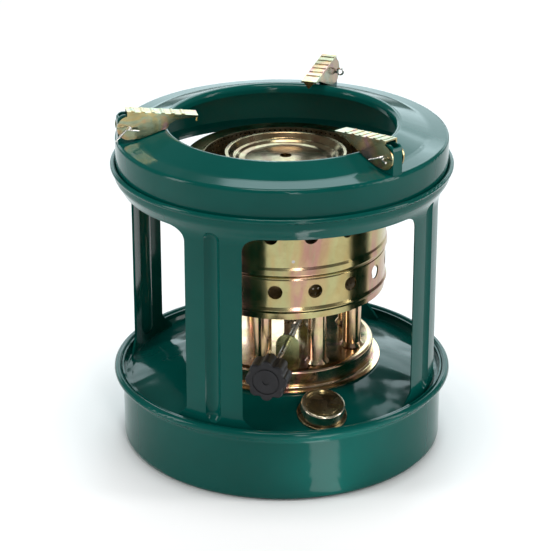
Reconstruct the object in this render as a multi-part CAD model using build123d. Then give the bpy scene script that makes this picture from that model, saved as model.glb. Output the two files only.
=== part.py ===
from build123d import *
import math
import os

# Portable kerosene stove heater: a round fuel tank, a pressed leg frame with a top ring,
# a multi-wick burner with a lift-off drum, and three hinged pan supports.
# Units are millimetres and degrees. Origin: centre of the tank's underside. +Z is up.
# The front is -Y. Azimuths are measured from the front towards +X.

# ---- driving dimensions ----
SHEET = 1.2                    # pressed steel sheet of tank, frame and ring
THIN = 0.8                     # plated sheet of the burner

TANK_R = 100.0                 # tank wall, outside
TANK_WALL_TOP = 39.5           # where the wall starts to flare to the rim
RIM_TUBE_R = 2.4               # rolled rim bead, section radius
RIM_R = 105.5                  # rolled rim bead, outside
RIM_Z = 45.8                   # rolled rim bead, centre height
SEAT_R = 62.0                  # flat seat of the burner in the tank top
SEAT_Z = 51.5                  # height of that seat
GROOVE_R = 95.0                # gutter between cone and rim
GROOVE_Z = 41.5
TANK_MOUTH_R = 50.5            # hole in the tank top, about the burner's axis

FRAME_R = 97.0                 # leg frame, outside
LEG_AZIMUTHS = [-25.0, 65.0, 155.0, 245.0]
WINDOW_HALF = 54.2             # half width of a window between two legs
WINDOW_TOP = 168.5
WINDOW_CORNER = 9.0
FOOT_FLARE = 8.0               # how far a foot widens on each side
FOOT_TOP = 52.0
FLUTE_WIDTH = 10.4             # pressed flute down the middle of a leg
FLUTE_DEPTH = 2.8
FLUTE_Z = (46.0, 170.0)
SKIRT_FLARE_Z = 167.0          # where the skirt starts to flare out to the bead
BEAD_R = 104.6                 # rolled bead at the top of the skirt, outside
BEAD_Z = 181.6
BEAD_TUBE_R = 1.6

RING_R = 101.2                 # top ring wall, outside
RING_FOOT_Z = 176.7            # the wall stands on a ledge inside the frame's skirt
RING_SHOULDER_Z = 200.0
RING_BEND = (89.5, 201.4)      # where the flat outer cone turns into the steeper inner one
RING_PEAK_Z = 208.2            # where the inner cone would meet the lip
RING_MOUTH_R = 68.7            # opening of the top ring
RING_LIP_Z = 201.6             # lower edge of the lip around the opening

PIVOT_R = 93.6                 # pan support pivot pins, distance from the axis
PIVOT_Z = 209.8
SUPPORT_AZIMUTHS = [-78.8, 41.2, 161.2]
SUPPORT_WIDTH = 9.6
SUPPORT_SHEET = 0.9
SUPPORT_TOP = 10.3             # top face above the pivot at its outer end
SUPPORT_REAR = 1.0             # top face reaches this far behind the pivot
SUPPORT_REACH = 41.6           # nose of the support, inward of the pivot
SUPPORT_DROP = 4.9             # fall of the top face from outer end to nose
SUPPORT_EAR_R = 7.4            # rounded ear of the side plates around the pin
RIDGE_PITCH = 6.0              # cross ridges that stop a pan from sliding
RIDGE_COUNT = 6
PIN_R = 1.3                    # split pin shank
PIN_CLEARANCE = 0.1
PIN_WIRE_R = 0.62
EAR_GAP = 0.35                 # side gap between support and bracket
BRACKET_BACK = 6.9             # rear wall of a bracket, behind the pivot
BRACKET_RISE = 8.3             # top of a bracket above the pivot
BRACKET_FRONT_U = 8.6          # front edge of its ears, inward of the pivot
BRACKET_ROOT = -14.0           # it is drawn down to here and cut off on the ring
BRACKET_CORNER = 4.2

CAP_AZIMUTH = 17.6
CAP_AT_R = 79.0                # distance of the filler from the axis
CAP_R = 13.3
CAP_HEIGHT = 7.6
NECK_R = 10.0                  # filler neck, outside
NECK_BORE_R = 8.6
NECK_FLANGE_R = 15.2
NECK_HEIGHT = 6.0
NECK_FLANGE = 1.1              # thickness of its flange on the tank top
CAP_GAP = 0.4                  # height of the cap's skirt above that flange
CAP_RIM = 1.9                  # raised rim around the recessed cap face
CAP_RECESS = 0.9
CAP_GROOVE = (3.6, 4.3)        # ring groove in the face, in from the cap's edge
GASKET_THICK = 1.2

BURNER_X = 2.3                 # the burner stands slightly to the right of the tank's axis
BASE_R = 59.5                  # flange of the burner base
BASE_SHOULDER_R = 55.0
BASE_PLATE_Z = 65.0            # surface that the wick tubes stand on
RACK_SLOT = (7.6, 6.6)         # slot in that surface for the wick rack
TUBE_COUNT = 8
TUBE_FIRST = 26.0              # azimuth of the first wick tube
TUBE_RING_R = 43.6
TUBE_R = 5.65
TUBE_BORE_R = 5.1
TUBE_FOOT_R = 7.4
TUBE_TOP_Z = 111.0
WICK_R = 4.7
WICK_TOP_Z = 113.0
WICK_BOTTOM_Z = 9.0
CARRIER_Z = 30.0               # underside of the wick carrier
GALLERY_Z = 105.0              # top of the plate that carries the drum
GALLERY_THICK = 1.2
DRUM_R = 63.0
DRUM_BOTTOM_Z = 102.3
DRUM_TOP_Z = 184.5
DRUM_SEAM_Z = 131.0            # bead between lower band and upper drum
DRUM_HOLE_R = 4.4
DRUM_HOLE_COUNT = 16
LOWER_HOLES_Z = 120.0
UPPER_HOLES_Z = 155.0
LOWER_HOLES_AZIMUTH = -6.0
UPPER_HOLES_AZIMUTH = -8.5
OUTER_TUBE_R = 51.2
INNER_TUBE_R = 37.0
CROSS_PIN_AZIMUTHS = [4.0, 124.0, 244.0]
CROSS_PIN_Z = 140.0
CROSS_PIN_R = 1.0
DISH_R = 37.0
DISH_Z = 187.0

SHAFT_AZIMUTH = 13.2           # the wick shaft runs to the rear, slightly to the right
SHAFT_OFFSET = 10.7            # its distance from the burner's axis
SHAFT_Z = 78.5
SHAFT_R = 1.5
BRACKET_FRONT = -41.0          # stations along the shaft from its nearest point to the axis
BRACKET_REAR = 21.0
KNOB_STATION = -91.0
KNOB_R = 12.8
KNOB_LOBES = 8
KNOB_LOBE_R = 3.7
KNOB_THICK = 13.0
KNOB_RING = (8.4, 7.4)         # ring groove in its face, outer and inner radius
KNOB_DIMPLE_R = 2.2
KNOB_FACE_CUT = 0.5            # depth of both
KNOB_BORE = 9.0                # depth of the shaft's bore
KNOB_PIN_R = 0.8
KNOB_PIN_BACK = 3.0            # the pin's distance from the knob's rear face
GEAR_MODULE = 1.0
PINION_TEETH = 12
PINION_WIDTH = 6.0
BRACKET_WIDTH = 14.5
BRACKET_SHEET = 1.2
BRACKET_FOOT = 6.0             # its foot flange reaches this far to the rear
BRACKET_TOP_Z = 83.4


# ---- helpers ----
def polar(radius, azimuth):
    """Point on a circle about the origin, azimuth from the front (-Y) towards +X."""
    a = math.radians(azimuth)
    return radius * math.sin(a), -radius * math.cos(a)


def outward(azimuth, z=0.0, radius=0.0):
    """Plane facing outward at an azimuth: local x runs sideways, local y runs up."""
    x, y = polar(1.0, azimuth)
    side = Vector(-y, x, 0)
    return Plane(origin=(x * radius, y * radius, z), x_dir=side, z_dir=(x, y, 0))


def mitred(points, distance):
    """Points moved to the right of the path by a distance, with mitred corners."""
    moved = []
    for i, point in enumerate(points):
        here = Vector(*point)
        before = (here - Vector(*points[i - 1])).normalized() if i > 0 else None
        after = (Vector(*points[i + 1]) - here).normalized() if i < len(points) - 1 else None
        before = before or after
        after = after or before
        n1 = Vector(before.Y, -before.X)
        n2 = Vector(after.Y, -after.X)
        shift = (n1 + n2) * (distance / (1 + n1.dot(n2)))
        moved.append((here.X + shift.X, here.Y + shift.Y))
    return moved


def turns_right(a, b, c):
    return (b[0] - a[0]) * (c[1] - b[1]) - (b[1] - a[1]) * (c[0] - b[0]) < 0


def strip(points, radii, thick):
    """Face of a sheet section that lies to the right of a path of (r, z) points."""
    moved = mitred(points, thick)
    inner = []
    for i, radius in enumerate(radii):
        closer = turns_right(points[i], points[i + 1], points[i + 2])
        inner.append(radius - thick if closer else radius + thick)
    side_a = FilletPolyline(*points, radius=radii)
    side_b = FilletPolyline(*moved, radius=inner)
    ends = [Line(side_a @ 1, side_b @ 1), Line(side_b @ 0, side_a @ 0)]
    return make_face(side_a.edges() + side_b.edges() + ShapeList(ends))


def spun(face):
    """Solid of revolution about Z of a face drawn as (r, z)."""
    return revolve(Plane.XZ * face, Axis.Z, 360)


def spun_sheet(points, radii, thick):
    return spun(strip(points, radii, thick))


def disc(radius, z_low, z_high):
    return Pos(0, 0, z_low) * extrude(Circle(radius), z_high - z_low)


def washer(outer, inner, z_low, z_high):
    return disc(outer, z_low, z_high) - disc(inner, z_low - 1, z_high + 1)


def torus_bead(radius, z, tube):
    return spun(Pos(radius - tube, z) * Circle(tube))


def on_burner(shape):
    """A shape drawn about the burner's own axis, placed on the tank."""
    return Pos(BURNER_X, 0, 0) * shape


def save(name, shape):
    export_step(shape, f"parts/{name}.step")


# ---- tank ----
def tank_pan():
    wall = [(0, 0), (TANK_R, 0), (TANK_R, TANK_WALL_TOP), (RIM_R - RIM_TUBE_R, RIM_Z - RIM_TUBE_R + 0.6)]
    shell = spun_sheet(wall[::-1], [2.6, 4.0], SHEET)
    return shell + torus_bead(RIM_R, RIM_Z, RIM_TUBE_R)


def tank_top():
    edge_r = RIM_R - 2 * RIM_TUBE_R - 1.0
    face = [(10.0, SEAT_Z), (SEAT_R, SEAT_Z), (GROOVE_R, GROOVE_Z),
            (edge_r - 1.2, GROOVE_Z), (edge_r, GROOVE_Z + 2.9), (edge_r, RIM_Z + 1.4)]
    sheet = spun_sheet(face, [3.0, 3.0, 1.2, 2.0], 1.0)
    sheet -= on_burner(disc(TANK_MOUTH_R, SEAT_Z - 5, SEAT_Z + 5))
    return sheet - filler_place() * disc(NECK_R + 0.01, -10, 10)


def filler_tilt():
    return math.degrees(math.atan2(SEAT_Z - GROOVE_Z, GROOVE_R - SEAT_R))


def filler_place():
    """Frame of the filler: origin on the cone of the tank top, z along its normal."""
    a = math.radians(filler_tilt())
    height = GROOVE_Z + (GROOVE_R - CAP_AT_R) * math.tan(a)
    x, y = polar(CAP_AT_R, CAP_AZIMUTH)
    out_x, out_y = polar(math.sin(a), CAP_AZIMUTH)
    return Location(Plane(origin=(x, y, height), x_dir=(-y, x, 0), z_dir=(out_x, out_y, math.cos(a))))


def filler_neck():
    tube = washer(NECK_R, NECK_BORE_R, -4.0, NECK_HEIGHT)
    flange = washer(NECK_FLANGE_R, NECK_R - 0.1, 0.0, NECK_FLANGE)
    rim = flange.edges().group_by(Axis.Z)[-1].sort_by(SortBy.RADIUS)[-1:]
    flange = fillet(rim, 0.5)
    return filler_place() * (tube + flange)


def cap_gasket():
    return filler_place() * washer(NECK_R + 0.4, NECK_BORE_R, NECK_HEIGHT, NECK_HEIGHT + GASKET_THICK)


def fuel_cap():
    low = NECK_FLANGE + CAP_GAP
    top = low + CAP_HEIGHT
    body = disc(CAP_R, low, top)
    crown = body.edges().group_by(Axis.Z)[-1]
    body = fillet(crown, 1.2)
    body -= disc(NECK_R + 0.7, low - 1, NECK_HEIGHT + GASKET_THICK)
    body -= disc(CAP_R - CAP_RIM, top - CAP_RECESS, top + 1)
    body -= washer(CAP_R - CAP_GROOVE[0], CAP_R - CAP_GROOVE[1], top - CAP_RECESS - 0.4, top)
    return filler_place() * body


# ---- leg frame and top ring ----
def window_cutter(azimuth):
    foot = WINDOW_HALF - FOOT_FLARE
    outline = [(-foot, 30.0), (foot, 30.0), (foot, GROOVE_Z + 2.0), (WINDOW_HALF, FOOT_TOP),
               (WINDOW_HALF, WINDOW_TOP), (-WINDOW_HALF, WINDOW_TOP),
               (-WINDOW_HALF, FOOT_TOP), (-foot, GROOVE_Z + 2.0)]
    radii = [0.0, 0.0, 4.0, 6.0, WINDOW_CORNER, WINDOW_CORNER, 6.0, 4.0]
    wire = rounded_outline(outline, radii)
    return extrude(outward(azimuth, 0, 50) * wire, 70)


def rounded_outline(points, radii):
    """Face of a closed outline whose corners are rounded by the given radii."""
    face = make_face(Polyline(*points, close=True))
    for point, radius in zip(points, radii):
        if radius > 0:
            corner = face.vertices().sort_by_distance((point[0], point[1], 0))[0]
            face = fillet(corner, radius)
    return face


def flute(azimuth, grow):
    """Rod with round ends, parallel to a leg: its side that lies in the leg is the pressed flute."""
    rod_r = (FLUTE_WIDTH ** 2 / 4 + FLUTE_DEPTH ** 2) / (2 * FLUTE_DEPTH)
    low, high = FLUTE_Z
    capsule = Pos(0, 0, low + rod_r) * Sphere(rod_r + grow)
    capsule += Pos(0, 0, high - rod_r) * Sphere(rod_r + grow)
    capsule += Pos(0, 0, (low + high) / 2) * Cylinder(rod_r + grow, high - low - 2 * rod_r)
    x, y = polar(FRAME_R - FLUTE_DEPTH + rod_r, azimuth)
    return Pos(x, y, 0) * capsule


def leg_frame():
    skirt = [(FRAME_R, GROOVE_Z), (FRAME_R, SKIRT_FLARE_Z), (BEAD_R - 2.0, RING_FOOT_Z - 1.0),
             (BEAD_R - 1.5, BEAD_Z - 1.0)]
    shell = spun_sheet(skirt[::-1], [6.0, 14.0], SHEET)
    shell += torus_bead(BEAD_R, BEAD_Z, BEAD_TUBE_R)
    ledge = Polyline((RING_R - SHEET, RING_FOOT_Z - 4.0), (RING_R + 0.4, RING_FOOT_Z - 1.4),
                     (RING_R + 0.4, RING_FOOT_Z), (RING_R - SHEET, RING_FOOT_Z), close=True)
    shell += spun(make_face(ledge))
    for azimuth in LEG_AZIMUTHS:
        shell -= window_cutter(azimuth + 45)
    inside = disc(FRAME_R - SHEET / 2, FLUTE_Z[0] - 2, SKIRT_FLARE_Z + 6)
    for azimuth in LEG_AZIMUTHS:
        shell += flute(azimuth, SHEET) & inside
        shell -= flute(azimuth, 0)
    return shell


def ring_profile():
    return [(RING_R, RING_FOOT_Z), (RING_R, RING_SHOULDER_Z), RING_BEND,
            (RING_MOUTH_R, RING_PEAK_Z), (RING_MOUTH_R, RING_LIP_Z)]


RING_RADII = [2.2, 15.0, 3.2]


def top_ring():
    return spun_sheet(ring_profile()[::-1], RING_RADII[::-1], SHEET)


def ring_envelope():
    """Everything under the outer skin of the top ring."""
    skin = FilletPolyline(*ring_profile(), radius=RING_RADII)
    closing = Polyline(skin @ 1, (0, RING_LIP_Z), (0, RING_FOOT_Z), skin @ 0)
    return spun(make_face(skin.edges() + closing.edges()))


# ---- pan supports: drawn with the pivot at the origin, +X inward, +Z up ----
# One entry per split pin: the side of its eye, then where its two legs bend and end,
# each as (inward, out from the shank's end, up).
SPLIT_PINS = [
    (1, [[(-2.4, 3.0, 0.2), (-9.5, 10.5, -3.6)], [(1.6, 1.6, -0.8), (5.6, 2.4, -1.2)]]),
    (-1, [[(1.4, 1.6, 0.2), (8.4, 2.6, -2.6)], [(-1.4, 1.6, -0.6), (-5.2, 2.4, -1.0)]]),
    (1, [[(-1.8, 2.4, 0.2), (-7.0, 7.0, -2.4)], [(1.6, 1.6, -0.8), (5.6, 2.4, -1.2)]]),
]


def at_pivot(azimuth):
    x, y = polar(PIVOT_R, azimuth)
    inward = Vector(-x, -y, 0).normalized()
    return Location(Plane(origin=(x, y, PIVOT_Z), x_dir=inward, z_dir=(0, 0, 1)))


def side_plate(outline, inner_face):
    """Side plate from an outline in (u, h), one sheet thick, outward of inner_face."""
    face = Plane.XZ * outline
    start = abs(inner_face)
    plate = extrude(face, SUPPORT_SHEET)
    shift = SUPPORT_SHEET if inner_face > 0 else 0
    return Pos(0, math.copysign(start, inner_face) + shift, 0) * plate


def top_height(u):
    return SUPPORT_TOP - SUPPORT_DROP * (u + SUPPORT_REAR) / (SUPPORT_REACH + SUPPORT_REAR)


def pan_support():
    half = SUPPORT_WIDTH / 2
    inner = half - SUPPORT_SHEET
    rear, nose = -SUPPORT_REAR, SUPPORT_REACH
    upper = [(nose, top_height(nose)), (rear, top_height(rear))]
    ear = Circle(SUPPORT_EAR_R)
    tip = (nose, top_height(nose) - 1.2)
    heel = [(rear, 6.8), (0.6, -7.2), (6.5, -6.9), (11.0, -5.6), (15.0, -4.2)]
    plain = make_face(Polyline(*upper, *heel, (25.6, 0.1), (34.0, 3.7), tip,
                                close=True)) + ear
    notched = make_face(Polyline(*upper, *heel, (20.4, -2.3), (22.4, -2.2), (24.2, 1.0),
                                 (28.0, 3.2), (34.0, 4.0), tip, close=True)) + ear
    body = side_plate(plain, inner) + side_plate(notched, -inner)
    body += support_top(half)
    body += nose_tab(inner)
    hole = Rot(90, 0, 0) * Cylinder(PIN_R + PIN_CLEARANCE, 2 * SUPPORT_WIDTH)
    return body - hole


def support_top(half):
    """Corrugated top: a sloping sheet with rounded cross ridges."""
    rear, nose = -SUPPORT_REAR, SUPPORT_REACH
    line = [(rear, top_height(rear)), (nose, top_height(nose))]
    under = [(nose, top_height(nose) - SUPPORT_SHEET), (rear, top_height(rear) - SUPPORT_SHEET)]
    sheet = Plane.XZ * make_face(Polyline(*line, *under, close=True))
    top = Pos(0, half, 0) * extrude(sheet, 2 * half)
    for i in range(RIDGE_COUNT):
        u = rear + 3.4 + i * RIDGE_PITCH
        ridge = Plane.XZ * (Pos(u, top_height(u) - 1.75) * Circle(2.2))
        ridge = Pos(0, half - 0.6, 0) * extrude(ridge, 2 * half - 1.2)
        top += ridge & Pos(u, 0, top_height(u) + 4.1) * Box(4, 2 * half, 10)
    return top


def nose_tab(inner):
    """Triangular tab folded down between the side plates at the nose."""
    h = top_height(SUPPORT_REACH)
    tab = Polyline((-inner, h - 0.3), (inner, h - 0.3), (0, h - 5.0), close=True)
    plane = Plane(origin=(SUPPORT_REACH - SUPPORT_SHEET, 0, 0), x_dir=(0, 1, 0), z_dir=(1, 0, 0))
    return extrude(plane * make_face(tab), SUPPORT_SHEET)


def support_bracket(azimuth):
    """Clevis of two ears and a rear wall, welded on the cone of the top ring."""
    half = SUPPORT_WIDTH / 2 - SUPPORT_SHEET - EAR_GAP
    rear, front, top = -BRACKET_BACK, BRACKET_FRONT_U, BRACKET_RISE
    outline = make_face(Polyline((rear, BRACKET_ROOT), (front, BRACKET_ROOT), (front, top - 0.8),
                                 (rear, top), close=True))
    outline = fillet(outline.vertices().sort_by(Axis.Y)[-2:], BRACKET_CORNER)
    block = Pos(0, half, 0) * extrude(Plane.XZ * outline, 2 * half)
    block -= Pos(rear + SHEET + 15, 0, 0) * Box(30, 2 * (half - SHEET), 60)
    block -= Rot(90, 0, 0) * Cylinder(PIN_R + 0.02, 30)
    return at_pivot(azimuth) * block - ring_envelope()


def split_pin(eye_side, legs):
    """Split pin: shank through both plates, an eye on one side, two bent legs on the other."""
    reach = SUPPORT_WIDTH / 2 + 0.7
    pin = Rot(90, 0, 0) * Cylinder(PIN_R, 2 * reach)
    pin += Pos(0, eye_side * (reach + 2.2), 0) * (Rot(0, 90, 0) * Torus(2.0, PIN_WIRE_R))
    for lift, leg in zip((0.5, -0.5), legs):
        path = [(0, -eye_side * (reach - 1.0), lift)]
        path += [(u, -eye_side * (reach + out), h) for u, out, h in leg]
        pin += bent_leg(path, PIN_WIRE_R)
    return pin


def bent_leg(points, wire):
    path = FilletPolyline(*points, radius=1.6)
    section = Plane(origin=path @ 0, z_dir=path % 0) * Circle(wire)
    return sweep(section, path)


# ---- burner, drawn about its own axis ----
def shaft_place(station):
    """Frame on the wick shaft: z along the shaft towards the rear, y up."""
    a = math.radians(SHAFT_AZIMUTH)
    along = Vector(math.sin(a), math.cos(a), 0)
    foot = Vector(SHAFT_OFFSET * math.cos(a), -SHAFT_OFFSET * math.sin(a), SHAFT_Z)
    origin = foot + along * station
    return Location(Plane(origin=origin, x_dir=(-math.cos(a), math.sin(a), 0), z_dir=along))


def burner_gasket():
    return washer(BASE_R - 1.0, TANK_MOUTH_R, SEAT_Z, SEAT_Z + 0.6)


def burner_base():
    low = SEAT_Z + 0.6
    skin = [(BASE_R, low + THIN), (BASE_SHOULDER_R - 0.4, low + THIN), (BASE_SHOULDER_R, 64.2),
            (BASE_SHOULDER_R - 3, BASE_PLATE_Z), (0, BASE_PLATE_Z)]
    pan = spun_sheet(skin[::-1], [3.0, 1.6, 1.6], THIN)
    for azimuth in tube_azimuths():
        pan -= Pos(*polar(TUBE_RING_R, azimuth), 60) * Cylinder(TUBE_BORE_R, 20)
    pan -= shaft_place(0) * Pos(8.1, -20, 0) * Box(RACK_SLOT[0], 30, RACK_SLOT[1])
    return pan


def tube_azimuths():
    return [TUBE_FIRST + 360.0 / TUBE_COUNT * i for i in range(TUBE_COUNT)]


def wick_tube(azimuth):
    wall = [(TUBE_FOOT_R, BASE_PLATE_Z), (TUBE_R, BASE_PLATE_Z + 2.4), (TUBE_R, TUBE_TOP_Z)]
    bore = [(TUBE_BORE_R, TUBE_TOP_Z), (TUBE_BORE_R, BASE_PLATE_Z)]
    tube = spun(make_face(Polyline(*wall, *bore, close=True)))
    return Pos(*polar(TUBE_RING_R, azimuth), 0) * tube


def wick(azimuth):
    length = WICK_TOP_Z - WICK_BOTTOM_Z
    return Pos(*polar(TUBE_RING_R, azimuth), WICK_BOTTOM_Z) * extrude(Circle(WICK_R), length)


def gallery_plate():
    plate = washer(54.0, 33.5, GALLERY_Z - GALLERY_THICK, GALLERY_Z)
    for azimuth in tube_azimuths():
        plate -= Pos(*polar(TUBE_RING_R, azimuth), GALLERY_Z) * Cylinder(TUBE_R + 0.01, 6)
    return plate


def drum_profile():
    r = DRUM_R
    return [(r - 1.6, DRUM_BOTTOM_Z), (r - 1.6, 106.2), (r, 108.0), (r - 1.2, 110.2), (r - 1.2, 127.6),
            (r - 1.8, 128.6), (r, DRUM_SEAM_Z), (r - 0.4, 134.4), (r - 1.0, 136.0),
            (r - 1.0, DRUM_TOP_Z), (OUTER_TUBE_R + 0.1, DRUM_TOP_Z)]


def outer_drum():
    radii = [0.9, 1.2, 0.9, 0.9, 0.9, 1.4, 1.4, 0.9, 2.0]
    shell = spun_sheet(drum_profile()[::-1], radii[::-1], THIN)
    for z, start in ((LOWER_HOLES_Z, LOWER_HOLES_AZIMUTH), (UPPER_HOLES_Z, UPPER_HOLES_AZIMUTH)):
        for i in range(DRUM_HOLE_COUNT):
            azimuth = start + 360.0 / DRUM_HOLE_COUNT * i
            shell -= extrude(outward(azimuth, z, DRUM_R - 8) * Circle(DRUM_HOLE_R), 12)
    return without_pins(shell)


def outer_flame_tube():
    return without_pins(washer(OUTER_TUBE_R, OUTER_TUBE_R - THIN, GALLERY_Z, DRUM_TOP_Z))


def inner_flame_tube():
    return without_pins(washer(INNER_TUBE_R, INNER_TUBE_R - THIN, GALLERY_Z, DISH_Z - THIN))


def flame_tube_pins():
    """Three cross pins that tie the inner tube, the outer tube and the drum together."""
    return Part() + [cross_pin(azimuth, CROSS_PIN_R) for azimuth in CROSS_PIN_AZIMUTHS]


def cross_pin(azimuth, radius):
    inner, outer = INNER_TUBE_R - THIN - 1.0, DRUM_R - 1.0
    return extrude(outward(azimuth, CROSS_PIN_Z, inner) * Circle(radius), outer - inner)


def without_pins(shell):
    for azimuth in CROSS_PIN_AZIMUTHS:
        shell -= cross_pin(azimuth, CROSS_PIN_R + 0.01)
    return shell


def spreader_dish():
    """Stepped dish with a central hole; its rim rests on the inner flame tube."""
    rim = DISH_Z
    skin = [(3.65, rim - 2.6), (25.5, rim - 5.0), (28.5, rim - 4.6), (30.6, rim - 3.2), (32.2, rim - 3.2),
            (35.0, rim), (DISH_R, rim)]
    return spun_sheet(skin, [6.0, 2.0, 1.2, 1.2, 1.0], THIN)


# ---- wick control ----
def wick_shaft():
    length = BRACKET_REAR - KNOB_STATION
    shaft = shaft_place(KNOB_STATION + 3.0) * extrude(Circle(SHAFT_R), length)
    return shaft - knob_pin()


def shaft_bracket(station):
    """Arch-shaped bearing plate that stands on the burner base."""
    height = BRACKET_TOP_Z - BASE_PLATE_Z
    radius = BRACKET_WIDTH / 2
    middle = BRACKET_TOP_Z - radius - SHAFT_Z
    arch = Pos(0, middle) * Circle(radius)
    arch += Pos(0, middle - (height - radius) / 2) * Rectangle(BRACKET_WIDTH, height - radius)
    plate = extrude(arch - Circle(SHAFT_R + 0.05), BRACKET_SHEET)
    foot = Pos(0, BASE_PLATE_Z - SHAFT_Z + BRACKET_SHEET / 2, BRACKET_FOOT / 2)
    foot = foot * Box(BRACKET_WIDTH, BRACKET_SHEET, BRACKET_FOOT)
    return shaft_place(station) * (plate + foot)


def pinion():
    pitch_r = GEAR_MODULE * PINION_TEETH / 2
    blank = Circle(pitch_r - 1.15 * GEAR_MODULE)
    for i in range(PINION_TEETH):
        blank += Rot(0, 0, 360 / PINION_TEETH * i) * Pos(pitch_r, 0) * tooth(0.0)
    wheel = extrude(blank - Circle(SHAFT_R), PINION_WIDTH)
    return shaft_place(0) * Pos(0, 0, -PINION_WIDTH / 2) * wheel


def tooth(widen):
    """Straight-sided gear tooth along +x, centred on the pitch line."""
    m = GEAR_MODULE
    root, tip = 0.98 * m + widen, 0.42 * m + widen
    return make_face(Polyline((-1.5 * m, -root), (0.85 * m, -tip), (0.85 * m, tip), (-1.5 * m, root),
                              close=True))


def wick_rack():
    pitch_r = GEAR_MODULE * PINION_TEETH / 2
    pitch = math.pi * GEAR_MODULE
    low, high = CARRIER_Z + 1.5 - SHAFT_Z, 9.0
    back = pitch_r + 1.15 * GEAR_MODULE
    bar = Pos(back + 1.9, (low + high) / 2) * Rectangle(3.8, high - low)
    for i in range(-5, 3):
        row = (i + 0.5) * pitch
        bar += Pos(pitch_r, row) * Rot(0, 0, 180) * tooth(0.0)
    return shaft_place(0) * Pos(0, 0, -PINION_WIDTH / 2 + 0.3) * extrude(bar, PINION_WIDTH - 0.6)


def wick_carrier():
    plate = washer(TANK_MOUTH_R - 0.5, 4.0, CARRIER_Z, CARRIER_Z + 1.5)
    plate += disc(10.0, CARRIER_Z, CARRIER_Z + 1.5)
    for i in range(4):
        plate -= Pos(*polar(24.0, 45 + 90 * i), CARRIER_Z) * Cylinder(8.0, 10)
    for azimuth in tube_azimuths():
        plate -= Pos(*polar(TUBE_RING_R, azimuth), CARRIER_Z) * Cylinder(WICK_R, 10)
    return plate


def knob():
    body = Circle(KNOB_R - 1.9)
    for i in range(KNOB_LOBES):
        body += Pos(*polar(KNOB_R - KNOB_LOBE_R, 360 / KNOB_LOBES * i)) * Circle(KNOB_LOBE_R)
    grip = extrude(body, KNOB_THICK)
    grip = fillet(grip.edges().group_by(Axis.Z)[0], 1.0)
    grip -= washer(*KNOB_RING, -1.0, KNOB_FACE_CUT)
    grip -= disc(KNOB_DIMPLE_R, -1.0, KNOB_FACE_CUT)
    grip -= Pos(0, 0, KNOB_THICK - KNOB_BORE) * extrude(Circle(SHAFT_R + 0.01), 12)
    return shaft_place(KNOB_STATION - KNOB_THICK / 2) * (grip - knob_pin_bore())


def knob_pin_bore():
    return Pos(0, 0, KNOB_THICK - KNOB_PIN_BACK) * (Rot(90, 0, 0) * Cylinder(KNOB_PIN_R, 40))


def knob_pin():
    """Split pin that locks the knob on the shaft, with its eye above the knob."""
    pin = Rot(90, 0, 0) * Cylinder(KNOB_PIN_R - 0.02, 2 * KNOB_R + 1.0)
    pin += Pos(0, KNOB_R + 2.2, 0) * (Rot(0, 90, 0) * Torus(1.5, 0.7))
    return shaft_place(KNOB_STATION + KNOB_THICK / 2 - KNOB_PIN_BACK) * pin


# ---- build ----
def main():
    os.makedirs("parts", exist_ok=True)
    save("tank_pan", tank_pan())
    save("tank_top", tank_top())
    save("filler_neck", filler_neck())
    save("cap_gasket", cap_gasket())
    save("fuel_cap", fuel_cap())
    save("leg_frame", leg_frame())
    save("top_ring", top_ring())
    for i, azimuth in enumerate(SUPPORT_AZIMUTHS, 1):
        save(f"support_bracket_{i}", support_bracket(azimuth))
        save(f"pan_support_{i}", at_pivot(azimuth) * pan_support())
        save(f"support_pin_{i}", at_pivot(azimuth) * split_pin(*SPLIT_PINS[i - 1]))
    for name, maker in (("burner_gasket", burner_gasket), ("burner_base", burner_base),
                        ("gallery_plate", gallery_plate), ("outer_drum", outer_drum),
                        ("outer_flame_tube", outer_flame_tube), ("inner_flame_tube", inner_flame_tube),
                        ("flame_tube_pins", flame_tube_pins), ("spreader_dish", spreader_dish),
                        ("wick_shaft", wick_shaft), ("pinion", pinion), ("wick_rack", wick_rack),
                        ("wick_carrier", wick_carrier), ("knob", knob), ("knob_pin", knob_pin)):
        save(name, on_burner(maker()))
    save("shaft_bracket_front", on_burner(shaft_bracket(BRACKET_FRONT)))
    save("shaft_bracket_rear", on_burner(shaft_bracket(BRACKET_REAR)))
    for i, azimuth in enumerate(tube_azimuths(), 1):
        save(f"wick_tube_{i}", on_burner(wick_tube(azimuth)))
        save(f"wick_{i}", on_burner(wick(azimuth)))


main()
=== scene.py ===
import math

import bpy
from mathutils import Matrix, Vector


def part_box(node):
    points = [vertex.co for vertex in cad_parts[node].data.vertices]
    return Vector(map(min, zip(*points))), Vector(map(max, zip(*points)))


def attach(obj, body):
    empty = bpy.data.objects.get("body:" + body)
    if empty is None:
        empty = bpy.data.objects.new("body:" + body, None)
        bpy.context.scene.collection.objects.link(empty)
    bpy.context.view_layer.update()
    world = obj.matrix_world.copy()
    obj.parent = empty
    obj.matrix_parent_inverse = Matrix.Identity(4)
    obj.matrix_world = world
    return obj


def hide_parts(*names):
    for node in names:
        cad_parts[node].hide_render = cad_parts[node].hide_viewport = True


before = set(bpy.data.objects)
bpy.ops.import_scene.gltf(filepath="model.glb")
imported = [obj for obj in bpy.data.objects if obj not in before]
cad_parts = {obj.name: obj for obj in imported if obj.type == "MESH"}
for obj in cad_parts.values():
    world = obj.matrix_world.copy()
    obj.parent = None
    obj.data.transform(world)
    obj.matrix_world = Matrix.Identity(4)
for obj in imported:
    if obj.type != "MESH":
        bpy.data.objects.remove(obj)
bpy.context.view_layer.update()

# ---- shared sizes, in metres ----
MM = 0.001
ZINC_NODES = ["gallery_plate", "outer_drum", "knob_pin"]
STEEL_NODES = ["wick_shaft", "pinion", "wick_rack", "wick_carrier", "flame_tube_pins"]
ENAMEL_NODES = ["tank_pan", "leg_frame", "top_ring"]
SUPPORTS = (1, 2, 3)
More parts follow.
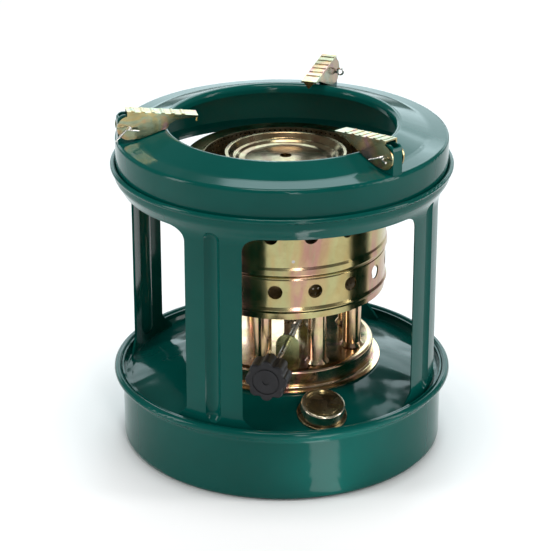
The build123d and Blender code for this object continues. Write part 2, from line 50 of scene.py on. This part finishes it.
TUBES = range(1, 9)
TUBE_SHEET = 0.8 * MM             # perforated flame tubes
TUBE_HOLE_R = 0.75 * MM
TUBE_ROWS = 24
OUTER_COLUMNS = 96
INNER_COLUMNS = 70
BRAID_PITCH = 14 * MM             # one turn of a wick's braid
BRAID_STRANDS = 6
BRAID_DEPTH = 0.10                # share of the wick's radius
WICK_DOME = 1.6 * MM
FLOOR_HALF = 6.0
LOOK_AT = Vector((-0.00393, 0.0, 0.10476))
STAGE_MIDDLE = (0.0, 0.0, 0.11)


# ---- material graphs ----
class Graph:
    """A node material with one Principled shader."""

    def __init__(self, name):
        self.material = bpy.data.materials.new(name)
        self.material.use_nodes = True
        self.tree = self.material.node_tree
        self.shader = self.tree.nodes["Principled BSDF"]
        self.place = self.node("ShaderNodeTexCoord").outputs["Object"]

    def node(self, kind, **settings):
        made = self.tree.nodes.new(kind)
        for key, value in settings.items():
            setattr(made, key, value)
        return made

    def link(self, source, target):
        self.tree.links.new(source, target)

    def stretched(self, scale):
        mapping = self.node("ShaderNodeMapping")
        mapping.inputs["Scale"].default_value = scale
        self.link(self.place, mapping.inputs["Vector"])
        return mapping.outputs["Vector"]

    def noise(self, scale, detail=3.0, roughness=0.5, distortion=0.0, place=None):
        made = self.node("ShaderNodeTexNoise")
        made.inputs["Scale"].default_value = scale
        made.inputs["Detail"].default_value = detail
        made.inputs["Roughness"].default_value = roughness
        made.inputs["Distortion"].default_value = distortion
        self.link(place or self.place, made.inputs["Vector"])
        return made.outputs["Fac"]

    def ramp(self, fac, stops):
        """Colour ramp; stops are (position, colour)."""
        made = self.node("ShaderNodeValToRGB")
        elements = made.color_ramp.elements
        while len(elements) < len(stops):
            elements.new(0.5)
        for element, (position, colour) in zip(elements, stops):
            element.position = position
            element.color = (*colour, 1.0)
        self.link(fac, made.inputs["Fac"])
        return made.outputs["Color"]

    def spread(self, fac, low, high):
        """The middle of a noise, 0.3 to 0.7, spread over low to high."""
        made = self.node("ShaderNodeMapRange")
        made.inputs["From Min"].default_value = 0.3
        made.inputs["From Max"].default_value = 0.7
        made.inputs["To Min"].default_value = low
        made.inputs["To Max"].default_value = high
        self.link(fac, made.inputs["Value"])
        return made.outputs["Result"]

    def mix(self, fac, a, b, blend="MIX"):
        made = self.node("ShaderNodeMix", data_type="RGBA", blend_type=blend)
        if isinstance(fac, (int, float)):
            made.inputs["Factor"].default_value = fac
        else:
            self.link(fac, made.inputs["Factor"])
        for name, value in (("A", a), ("B", b)):
            socket = [s for s in made.inputs if s.name == name and s.type == "RGBA"][0]
            if isinstance(value, tuple):
                socket.default_value = (*value, 1.0)
            else:
                self.link(value, socket)
        return [s for s in made.outputs if s.type == "RGBA"][0]

    def bump(self, height, strength, distance, normal=None):
        made = self.node("ShaderNodeBump")
        made.inputs["Strength"].default_value = strength
        made.inputs["Distance"].default_value = distance
        self.link(height, made.inputs["Height"])
        if normal is not None:
            self.link(normal, made.inputs["Normal"])
        return made.outputs["Normal"]

    def set(self, **values):
        for key, value in values.items():
            socket = self.shader.inputs[key.replace("_", " ")]
            if isinstance(value, (int, float)):
                socket.default_value = value
            elif isinstance(value, tuple):
                socket.default_value = (*value, 1.0)
            else:
                self.link(value, socket)


def enamel(name, wave, wave_depth):
    """Deep green stove enamel: glossy, with the slow waves of a dipped coat."""
    g = Graph(name)
    tone = g.noise(16.0, 4.0)
    colour = g.ramp(tone, [(0.35, (0.0006, 0.058, 0.047)), (0.65, (0.0012, 0.070, 0.058))])
    specks = g.noise(900.0, 1.0)
    dust = g.ramp(specks, [(0.76, (0.0, 0.0, 0.0)), (0.82, (0.02, 0.03, 0.028))])
    colour = g.mix(0.5, colour, dust, "ADD")
    waves = g.bump(g.noise(wave, 1.0, distortion=0.4), 0.30, wave_depth)
    peel = g.bump(g.noise(260.0, 2.0), 0.10, 0.06 * MM, waves)
    g.set(Base_Color=colour, Roughness=g.spread(g.noise(60.0, 4.0), 0.07, 0.15), Normal=peel)
    g.set(IOR=1.45, Specular_IOR_Level=0.17)
    return g.material


def plated(name, stops, rough, grain, streak=(1.0, 1.0, 0.35), scale=14.0, dull=0.35, shade=0.86):
    """Chromated zinc plate: interference colours that drift over the sheet, and a satin metal gloss."""
    g = Graph(name)
    drift = g.noise(scale, 5.0, 0.55, 1.2, g.stretched(streak))
    colour = g.ramp(drift, stops)
    mottle = g.noise(70.0, 4.0, 0.6, 0.4)
    colour = g.mix(g.spread(mottle, 0.0, dull), colour, (0.50, 0.34, 0.16), "MULTIPLY")
    spots = g.ramp(g.noise(420.0, 2.0), [(0.30, (0.75, 0.72, 0.68)), (0.42, (1.0, 1.0, 1.0))])
    colour = g.mix(0.35, colour, spots, "MULTIPLY")
    # Painted reflection: long upright dark streaks darken the colour in place of mirrored dark legs and
    # surroundings.
    painted_reflection_streaks = g.noise(11.0, 4.0, 0.6, 0.8, g.stretched((1.0, 1.0, 0.3)))
    colour = g.mix(g.spread(painted_reflection_streaks, -0.6, 0.9), colour, (0.50, 0.40, 0.30), "MULTIPLY")
    colour = g.mix(1.0, colour, (shade, shade, shade), "MULTIPLY")
    waves = g.bump(g.noise(45.0, 2.0, place=g.stretched((1.0, 1.0, 0.5))), 0.30, 0.7 * MM)
    fine = g.bump(g.noise(grain, 3.0), 0.12, 0.03 * MM, waves)
    g.set(Base_Color=colour, Metallic=1.0, Normal=fine)
    g.set(Roughness=g.spread(g.noise(110.0, 4.0), rough[0], rough[1]))
    return g.material


GOLD_STOPS = [(0.28, (0.50, 0.60, 0.30)), (0.35, (0.82, 0.50, 0.34)), (0.42, (0.84, 0.66, 0.30)),
              (0.49, (0.78, 0.76, 0.38)), (0.55, (0.86, 0.66, 0.34)), (0.60, (0.82, 0.46, 0.38)),
              (0.66, (0.56, 0.66, 0.34)), (0.74, (0.82, 0.66, 0.32))]
ROSY_STOPS = [(0.28, (0.60, 0.62, 0.36)), (0.36, (0.80, 0.50, 0.38)), (0.44, (0.80, 0.62, 0.34)),
              (0.50, (0.82, 0.56, 0.42)), (0.56, (0.74, 0.68, 0.38)), (0.62, (0.78, 0.44, 0.42)),
              (0.72, (0.70, 0.66, 0.44))]
PALE_STOPS = [(0.28, (0.74, 0.52, 0.26)), (0.40, (0.82, 0.70, 0.34)), (0.48, (0.58, 0.70, 0.50)),
              (0.56, (0.84, 0.64, 0.32)), (0.64, (0.84, 0.46, 0.46)), (0.76, (0.52, 0.66, 0.62))]
GREENISH_STOPS = [(0.30, (0.52, 0.50, 0.24)), (0.45, (0.60, 0.62, 0.30)), (0.58, (0.48, 0.56, 0.30)),
                  (0.72, (0.62, 0.52, 0.28))]
DISH_STOPS = [(0.30, (0.52, 0.34, 0.20)), (0.42, (0.66, 0.50, 0.28)), (0.50, (0.72, 0.64, 0.38)),
              (0.58, (0.62, 0.42, 0.26)), (0.70, (0.50, 0.46, 0.28))]
BRONZE_STOPS = [(0.30, (0.29, 0.23, 0.14)), (0.45, (0.42, 0.36, 0.22)), (0.55, (0.34, 0.32, 0.21)),
                (0.70, (0.48, 0.41, 0.28))]
TUBE_STOPS = [(0.30, (0.50, 0.36, 0.22)), (0.45, (0.62, 0.50, 0.30)), (0.60, (0.52, 0.50, 0.36)),
              (0.72, (0.60, 0.42, 0.30))]


def cap_plate():
    """Fuel cap: bronze zinc, darker towards its middle and brighter around the edge."""
    low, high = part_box("fuel_cap")
    middle = (low + high) / 2
    g = Graph("cap_zinc")
    mapping = g.node("ShaderNodeMapping")
    mapping.inputs["Location"].default_value = (-middle.x, -middle.y, -middle.z)
    g.link(g.place, mapping.inputs["Vector"])
    away = g.node("ShaderNodeVectorMath", operation="LENGTH")
    g.link(mapping.outputs["Vector"], away.inputs[0])
    reach = g.node("ShaderNodeMapRange")
    reach.inputs["From Max"].default_value = 15.0 * MM
    g.link(away.outputs["Value"], reach.inputs["Value"])
    colour = g.ramp(reach.outputs["Result"], [(0.20, (0.27, 0.21, 0.14)), (0.55, (0.42, 0.36, 0.24)),
                                              (0.78, (0.54, 0.48, 0.33)), (0.92, (0.68, 0.62, 0.48))])
    tarnish = g.ramp(g.noise(75.0, 4.0, 0.6, 0.6), [(0.35, (0.62, 0.56, 0.50)), (0.60, (1.0, 1.0, 1.0))])
    colour = g.mix(0.8, colour, tarnish, "MULTIPLY")
    g.set(Base_Color=colour, Metallic=1.0, Roughness=g.spread(g.noise(130.0, 4.0), 0.18, 0.34))
    g.set(Normal=g.bump(g.noise(90.0, 2.0), 0.22, 0.25 * MM))
    return g.material


def bare_steel(name, tint, rough):
    """Drawn steel with fine lengthwise scratches and a few tarnished patches."""
    g = Graph(name)
    patches = g.noise(120.0, 4.0, 0.6)
    dark = tuple(c * 0.62 for c in tint)
    colour = g.mix(g.spread(patches, 0.0, 0.7), tint, dark)
    lines = g.noise(1500.0, 2.0, 0.5, 0.0, g.stretched((1.0, 0.05, 1.0)))
    g.set(Base_Color=colour, Metallic=1.0, Normal=g.bump(lines, 0.15, 0.03 * MM))
    g.set(Roughness=g.spread(g.noise(300.0, 3.0), rough[0], rough[1]))
    return g.material


def knob_plastic():
    """Near-black moulded plastic with a soft, scuffed sheen."""
    g = Graph("knob_plastic")
    colour = g.mix(g.spread(g.noise(160.0, 4.0), 0.0, 1.0), (0.004, 0.004, 0.005), (0.009, 0.009, 0.011))
    scuffs = g.bump(g.noise(700.0, 3.0), 0.25, 0.05 * MM)
    moulding = g.bump(g.noise(110.0, 2.0), 0.25, 0.3 * MM, scuffs)
    g.set(Base_Color=colour, Roughness=g.spread(g.noise(240.0, 3.0), 0.30, 0.48), Normal=moulding)
    g.set(IOR=1.5, Specular_IOR_Level=0.3)
    return g.material


def braided_cotton():
    """Off-white cotton yarn, mottled and fuzzy."""
    g = Graph("wick_cotton")
    fuzz = g.noise(900.0, 4.0, 0.7)
    colour = g.mix(g.spread(fuzz, 0.0, 1.0), (0.80, 0.76, 0.66), (0.58, 0.53, 0.42))
    g.set(Base_Color=colour, Roughness=g.spread(fuzz, 0.80, 0.95), Normal=g.bump(fuzz, 0.5, 0.15 * MM))
    g.set(Sheen_Weight=0.4, Sheen_Roughness=0.5)
    return g.material


def seal_rubber():
    """Matt black rubber with a fine grain."""
    g = Graph("seal_rubber")
    grain = g.noise(500.0, 3.0)
    g.set(Base_Color=g.mix(g.spread(grain, 0.0, 1.0), (0.018, 0.018, 0.018), (0.035, 0.034, 0.032)))
    g.set(Roughness=g.spread(grain, 0.55, 0.75), Normal=g.bump(grain, 0.3, 0.05 * MM))
    return g.material


MATERIALS = {
    "enamel": enamel("green_enamel", 26.0, 0.6 * MM),
    "tank_enamel": enamel("tank_enamel", 34.0, 5.5 * MM),
    "gold": plated("yellow_zinc", GOLD_STOPS, (0.14, 0.26), 700.0, shade=0.57),
    "rosy": plated("rosy_zinc", ROSY_STOPS, (0.14, 0.26), 700.0, (1.0, 1.0, 0.6), 24.0, 0.45, 0.84),
    "pale": plated("pale_zinc", PALE_STOPS, (0.16, 0.28), 700.0, (1.0, 1.0, 1.0), 55.0, 0.5, 0.58),
    "greenish": plated("green_zinc", GREENISH_STOPS, (0.20, 0.32), 700.0, (1.0, 1.0, 1.0), 40.0, 0.3),
    "dish": plated("dish_zinc", DISH_STOPS, (0.16, 0.26), 700.0, (1.0, 1.0, 1.0), 26.0, 0.5, 0.44),
    "bronze": plated("bronze_zinc", BRONZE_STOPS, (0.22, 0.36), 900.0, (1.0, 1.0, 1.0), 60.0),
    "cap": cap_plate(),
    "tube": plated("tube_steel", TUBE_STOPS, (0.25, 0.40), 900.0),
    "steel": bare_steel("plain_steel", (0.56, 0.54, 0.50), (0.22, 0.38)),
    "bright": bare_steel("bright_steel", (0.80, 0.78, 0.74), (0.12, 0.24)),
    "plastic": knob_plastic(),
    "cotton": braided_cotton(),
    "rubber": seal_rubber(),
}


def paint(name, key):
    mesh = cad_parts[name].data
    mesh.materials.clear()
    mesh.materials.append(MATERIALS[key])


for each in ENAMEL_NODES:
    paint(each, "enamel")
for each in ZINC_NODES:
    paint(each, "gold")
for each in STEEL_NODES:
    paint(each, "steel")
for number in SUPPORTS:
    paint(f"support_bracket_{number}", "enamel")
    paint(f"pan_support_{number}", "pale")
    paint(f"support_pin_{number}", "bright")
for number in TUBES:
    paint(f"wick_tube_{number}", "rosy")
    paint(f"wick_{number}", "cotton")
paint("tank_top", "tank_enamel")
paint("burner_base", "rosy")
paint("spreader_dish", "dish")
paint("shaft_bracket_front", "greenish")
paint("shaft_bracket_rear", "greenish")
paint("outer_flame_tube", "tube")
paint("inner_flame_tube", "tube")
paint("filler_neck", "bronze")
paint("fuel_cap", "cap")
paint("knob", "plastic")
paint("cap_gasket", "rubber")
paint("burner_gasket", "rubber")


# ---- pieces that carry more detail than their CAD solids ----
def add_piece(name, verts, faces, material, body):
    mesh = bpy.data.meshes.new(name)
    mesh.from_pydata(verts, [], faces)
    mesh.materials.append(MATERIALS[material])
    mesh.shade_smooth()
    mesh.set_sharp_from_angle(angle=math.radians(40))
    made = bpy.data.objects.new(name, mesh)
    bpy.context.scene.collection.objects.link(made)
    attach(made, body)
    return made


def perforated_tube(node, columns):
    """Sheet tube with staggered rows of small round holes, in the place of a plain CAD tube."""
    low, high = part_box(node)
    centre_x = (low.x + high.x) / 2
    outer_r = (high.x - low.x) / 2
    around = 2 * math.pi / (2 * columns)
    step = (high.z - low.z) / (2 * TUBE_ROWS)
    verts, faces, index = [], [], {}

    def point(key, column, row, inner):
        if key not in index:
            radius = outer_r - (TUBE_SHEET if inner else 0.0)
            a = column * around
            index[key] = len(verts)
            verts.append((centre_x + radius * math.cos(a), radius * math.sin(a), low.z + row * step))
        return index[key]

    ring = [(-1, -1), (0, -1), (1, -1), (1, 0), (1, 1), (0, 1), (-1, 1), (-1, 0)]
    for r in range(TUBE_ROWS):
        for c in range(columns):
            middle, level = 2 * c + 1 + r % 2, 2 * r + 1
            sides = []
            for inner in (False, True):
                edge, rim = [], []
                for k, (dx, dy) in enumerate(ring):
                    at = ((middle + dx) % (2 * columns), level + dy)
                    edge.append(point((at, inner), *at, inner))
                    turn = math.radians(-135 + 45 * k)
                    hole = (middle + TUBE_HOLE_R * math.cos(turn) / (outer_r * around),
                            level + TUBE_HOLE_R * math.sin(turn) / step)
                    rim.append(point((middle, level, k, inner), *hole, inner))
                sides.append((edge, rim))
            (edge_o, rim_o), (edge_i, rim_i) = sides
            for k in range(len(ring)):
                n = (k + 1) % len(ring)
                faces.append((edge_o[k], edge_o[n], rim_o[n], rim_o[k]))
                faces.append((edge_i[n], edge_i[k], rim_i[k], rim_i[n]))
                faces.append((rim_o[k], rim_o[n], rim_i[n], rim_i[k]))
    for row, flip in ((0, True), (2 * TUBE_ROWS, False)):
        for c in range(2 * columns):
            n = (c + 1) % (2 * columns)
            loop = [index[((c, row), False)], index[((n, row), False)],
                    index[((n, row), True)], index[((c, row), True)]]
            faces.append(loop[::-1] if flip else loop)
    made = add_piece(node + "_perforated", verts, faces, "tube", "drum")
    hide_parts(node)


def braided_wick(number):
    """Round wick whose surface is a diamond braid, with a softly domed end."""
    node = f"wick_{number}"
    low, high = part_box(node)
    middle = (low + high) / 2
    full_r = (high.x - low.x) / 2
    segments, rings = 40, 110
    twist = 2 * math.pi / BRAID_PITCH
    verts, faces = [], []
    for j in range(rings):
        z = low.z + (high.z - low.z) * j / (rings - 1)
        dome = min(1.0, (high.z - z) / WICK_DOME)
        for i in range(segments):
            a = 2 * math.pi * i / segments
            across, along = BRAID_STRANDS * a / 2, twist * z / 2
            weave = abs(math.sin(across + along) * math.sin(across - along))
            radius = full_r * (1.0 - BRAID_DEPTH + BRAID_DEPTH * weave)
            radius *= 0.80 + 0.20 * math.sqrt(dome)
            verts.append((middle.x + radius * math.cos(a), middle.y + radius * math.sin(a), z))
    for j in range(rings - 1):
        for i in range(segments):
            n = (i + 1) % segments
            base = j * segments
            faces.append((base + i, base + n, base + segments + n, base + segments + i))
    faces.append(tuple(range(segments))[::-1])
    faces.append(tuple((rings - 1) * segments + i for i in range(segments)))
    made = add_piece(node + "_braid", verts, faces, "cotton", "wick_lift")
    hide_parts(node)


perforated_tube("outer_flame_tube", OUTER_COLUMNS)
perforated_tube("inner_flame_tube", INNER_COLUMNS)
for number in TUBES:
    braided_wick(number)


# ---- stage, lights and camera ----
def plain(name, colour, rough):
    """Even, matt paper colour."""
    g = Graph(name)
    tone = tuple(c * 0.985 for c in colour)
    g.set(Base_Color=g.mix(g.spread(g.noise(3.0), 0.0, 1.0), colour, tone), Roughness=rough)
    return g.material


def floor():
    """Wide plain floor."""
    corners = [(-1, -1), (1, -1), (1, 1), (-1, 1)]
    mesh = bpy.data.meshes.new("floor")
    mesh.from_pydata([(x * FLOOR_HALF, y * FLOOR_HALF, 0) for x, y in corners], [], [(0, 1, 2, 3)])
    made = bpy.data.objects.new("floor", mesh)
    bpy.context.scene.collection.objects.link(made)
    mesh.materials.append(plain("floor_paper", (0.90, 0.90, 0.90), 0.7))


COOL = (0.78, 0.95, 1.0)


def area_light(name, place, size, watts, colour=(1.0, 1.0, 1.0)):
    light = bpy.data.lights.new(name, "AREA")
    light.shape = "RECTANGLE"
    light.size, light.size_y = size
    light.energy = watts
    light.color = colour
    made = bpy.data.objects.new(name, light)
    made.location = place
    bpy.context.scene.collection.objects.link(made)
    return made


def softbox(name, place, size, watts, colour=(1.0, 1.0, 1.0)):
    """Soft light that faces the object."""
    made = area_light(name, place, size, watts, colour)
    made.rotation_mode = "QUATERNION"
    made.rotation_quaternion = (Vector(STAGE_MIDDLE) - Vector(place)).to_track_quat("-Z", "Y")


def studio():
    world = bpy.data.worlds.new("studio")
    world.use_nodes = True
    back = world.node_tree.nodes["Background"]
    back.inputs["Color"].default_value = (1.0, 1.0, 1.0, 1.0)
    back.inputs["Strength"].default_value = 0.20
    bpy.context.scene.world = world
    bpy.context.scene.view_settings.view_transform = "Standard"
    softbox("back_low", (0.0, 2.2, 0.72), (4.2, 0.95), 30.0, COOL)
    softbox("back_high", (0.26, 1.50, 1.26), (0.84, 0.85), 8.5, COOL)
    softbox("top", (0.0, -0.15, 2.0), (0.9, 0.7), 23.0)
    softbox("left", (-1.15, -0.35, 0.50), (0.30, 0.9), 7.0)
    softbox("right", (1.15, -0.20, 0.55), (0.25, 0.9), 6.0)
    softbox("front", (0.30, -1.35, 0.62), (0.16, 0.8), 5.0)
    floor_strip()


def floor_strip():
    """Slim lights in a row on the floor: their mirror image is the upright gleam on the tank's front."""
    start, heading = Vector((0.030, -0.103, 0.0005)), math.radians(30)
    along = Vector((math.sin(heading), -math.cos(heading), 0.0))
    length, count, radiance = 18 * MM, 5, 4.4
    for i in range(count):
        distance = length * (i + 0.5)
        for share in (0.55, 1.0, 1.5):
            width = share * 13 * MM * (1 + 20 * distance)
            watts = radiance * math.pi * width * length
            made = area_light("floor_strip", start + along * distance, (width, length), watts)
            made.rotation_euler = (math.pi, 0.0, heading)
            made.visible_camera = False


def camera():
    """View from the front, 23.2 degrees above the horizon and 1.39 m from the look-at point."""
    distance, elevation = 1.390, math.radians(23.18)
    back = Vector((0.0, -math.cos(elevation), math.sin(elevation)))
    data = bpy.data.cameras.new("camera")
    data.sensor_width = 36.0
    data.lens = 145.85
    data.clip_start = 0.05
    made = bpy.data.objects.new("camera", data)
    made.location = LOOK_AT + back * distance
    made.rotation_mode = "QUATERNION"
    made.rotation_quaternion = (-back).to_track_quat("-Z", "Y")
    bpy.context.scene.collection.objects.link(made)
    bpy.context.scene.camera = made


floor()
studio()
camera()
